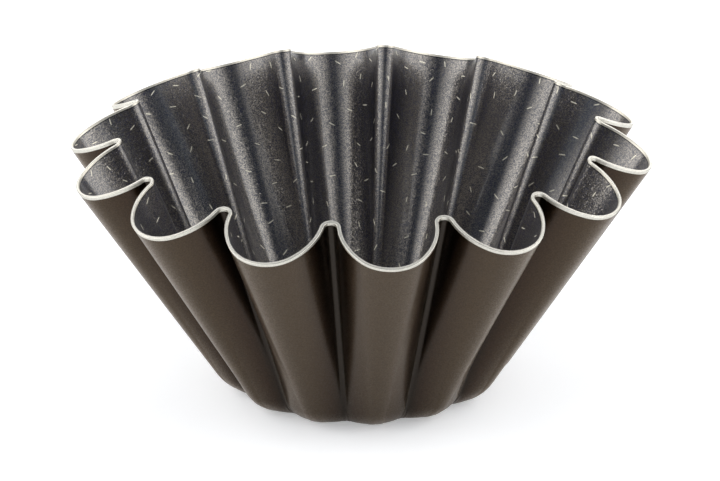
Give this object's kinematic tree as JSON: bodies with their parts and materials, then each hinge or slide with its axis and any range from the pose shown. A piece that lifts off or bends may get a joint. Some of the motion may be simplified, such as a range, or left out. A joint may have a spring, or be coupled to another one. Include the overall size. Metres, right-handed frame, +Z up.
{
  "type": "brioche mould",
  "caption": "Open fluted brioche mould of pressed aluminium with a wavy rim, a brown lacquered outside and a grey flecked non-stick lining.",
  "frame": {"origin": "under the middle of the flat base, on the surface the mould stands on", "axes": "+Z up along the mould's axis, +X through the middle of one flute"},
  "size_m": [0.2204, 0.2158, 0.1014],
  "materials": {
    "bare_aluminium": "sheet aluminium, trimmed and deburred along the rim",
    "brown_lacquer": "satin metallic brown heat-proof lacquer",
    "nonstick_base": "charcoal non-stick coat with metal flake",
    "nonstick_top": "semi-gloss charcoal non-stick coat with small pale printed flecks"
  },
  "bodies": {
    "root": {"pressed_shell": "bare_aluminium", "base_lacquer": "brown_lacquer", "wall_lacquer": "brown_lacquer", "nonstick_base_coat": "nonstick_base", "nonstick_top_coat": "nonstick_top"}
  },
  "joints": []
}
